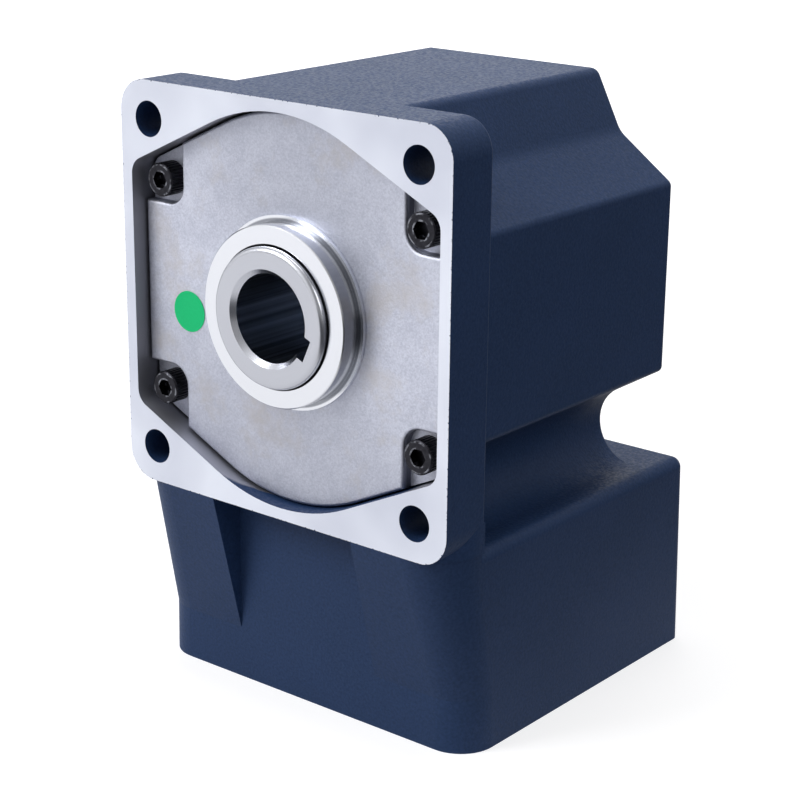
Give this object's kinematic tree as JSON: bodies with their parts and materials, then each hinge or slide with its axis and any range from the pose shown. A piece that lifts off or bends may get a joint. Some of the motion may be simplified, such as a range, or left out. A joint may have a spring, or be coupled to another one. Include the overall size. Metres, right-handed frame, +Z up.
{
  "type": "right angle gear motor",
  "caption": "Right angle gearhead with a keyed hollow output shaft, square mounting flange and a motor face below, for a gear motor.",
  "frame": {"origin": "output axis at the mounting flange's front face", "axes": "+Y along the output axis into the body, +X to the right seen from the front, +Z up, away from the motor face"},
  "size_m": [0.104, 0.1112, 0.157],
  "materials": {
    "case_paint": "navy grey paint over cast aluminium",
    "cover_aluminium": "cast, bead blasted, boss turned bright",
    "gasket_fibre": "pressed fibre sheet",
    "screw_black": "black oxide",
    "mark_green": "plain sticker",
    "seal_rubber": "moulded nitrile",
    "bearing_steel": "ground",
    "shaft_steel": "turned and ground",
    "gear_steel": "case hardened",
    "spring_steel": "phosphated",
    "plate_steel": "milled",
    "carrier_iron": "cast and machined"
  },
  "bodies": {
    "case": {"housing": "case_paint", "front_cover": "cover_aluminium", "cover_gasket": "gasket_fibre", "cover_screws": "screw_black", "inspection_mark": "mark_green", "front_oil_seal": "seal_rubber", "rear_oil_seal": "seal_rubber", "output_bearing_front_outer": "bearing_steel", "output_bearing_rear_outer": "bearing_steel", "cross_bearing_front_outer": "bearing_steel", "cross_bearing_rear_outer": "bearing_steel", "cross_bore_circlip": "spring_steel", "cross_bore_plug": "plate_steel", "bearing_carrier": "carrier_iron", "carrier_screws": "screw_black", "bevel_bearing_lower_outer": "bearing_steel", "bevel_bearing_upper_outer": "bearing_steel", "idler_bearing_lower_outer": "bearing_steel", "idler_bearing_upper_outer": "bearing_steel", "motor_side_plate": "plate_steel", "motor_side_gasket": "gasket_fibre", "plate_screws": "screw_black"},
    "output": {"hollow_shaft": "shaft_steel", "output_gear": "gear_steel", "output_gear_key": "shaft_steel", "output_sleeve": "shaft_steel", "output_bearing_front_inner": "bearing_steel", "output_bearing_rear_inner": "bearing_steel"},
    "cross": {"cross_pinion_shaft": "gear_steel", "bevel_gear": "gear_steel", "bevel_gear_key": "shaft_steel", "cross_front_sleeve": "shaft_steel", "cross_rear_sleeve": "shaft_steel", "cross_bearing_front_inner": "bearing_steel", "cross_bearing_rear_inner": "bearing_steel"},
    "bevel_pinion": {"bevel_pinion_shaft": "gear_steel", "second_gear": "gear_steel", "second_gear_key": "shaft_steel", "second_gear_circlip": "spring_steel", "bevel_shaft_sleeve": "shaft_steel", "bevel_bearing_lower_inner": "bearing_steel", "bevel_bearing_upper_inner": "bearing_steel"},
    "idler": {"idler_pinion_shaft": "gear_steel", "first_gear": "gear_steel", "idler_bearing_lower_inner": "bearing_steel", "idler_bearing_upper_inner": "bearing_steel"}
  },
  "joints": [
    {"name": "output_spin", "type": "hinge", "parent": "case", "child": "output", "pos_m": [0, 0, 0], "axis": [0, 1, 0], "continuous": true},
    {"name": "cross_spin", "type": "hinge", "parent": "case", "child": "cross", "pos_m": [0, 0, -0.039], "axis": [0, 1, 0], "continuous": true},
    {"name": "bevel_pinion_spin", "type": "hinge", "parent": "case", "child": "bevel_pinion", "pos_m": [0, 0.05853, 0], "axis": [0, 0, 1], "continuous": true},
    {"name": "idler_spin", "type": "hinge", "parent": "case", "child": "idler", "pos_m": [0.02, 0.05853, 0], "axis": [0, 0, 1], "continuous": true}
  ],
  "couplings": [
    {"joint": "cross_spin", "follows": "output_spin", "ratio": -3},
    {"joint": "bevel_pinion_spin", "follows": "output_spin", "ratio": -6},
    {"joint": "idler_spin", "follows": "output_spin", "ratio": 12.462}
  ]
}
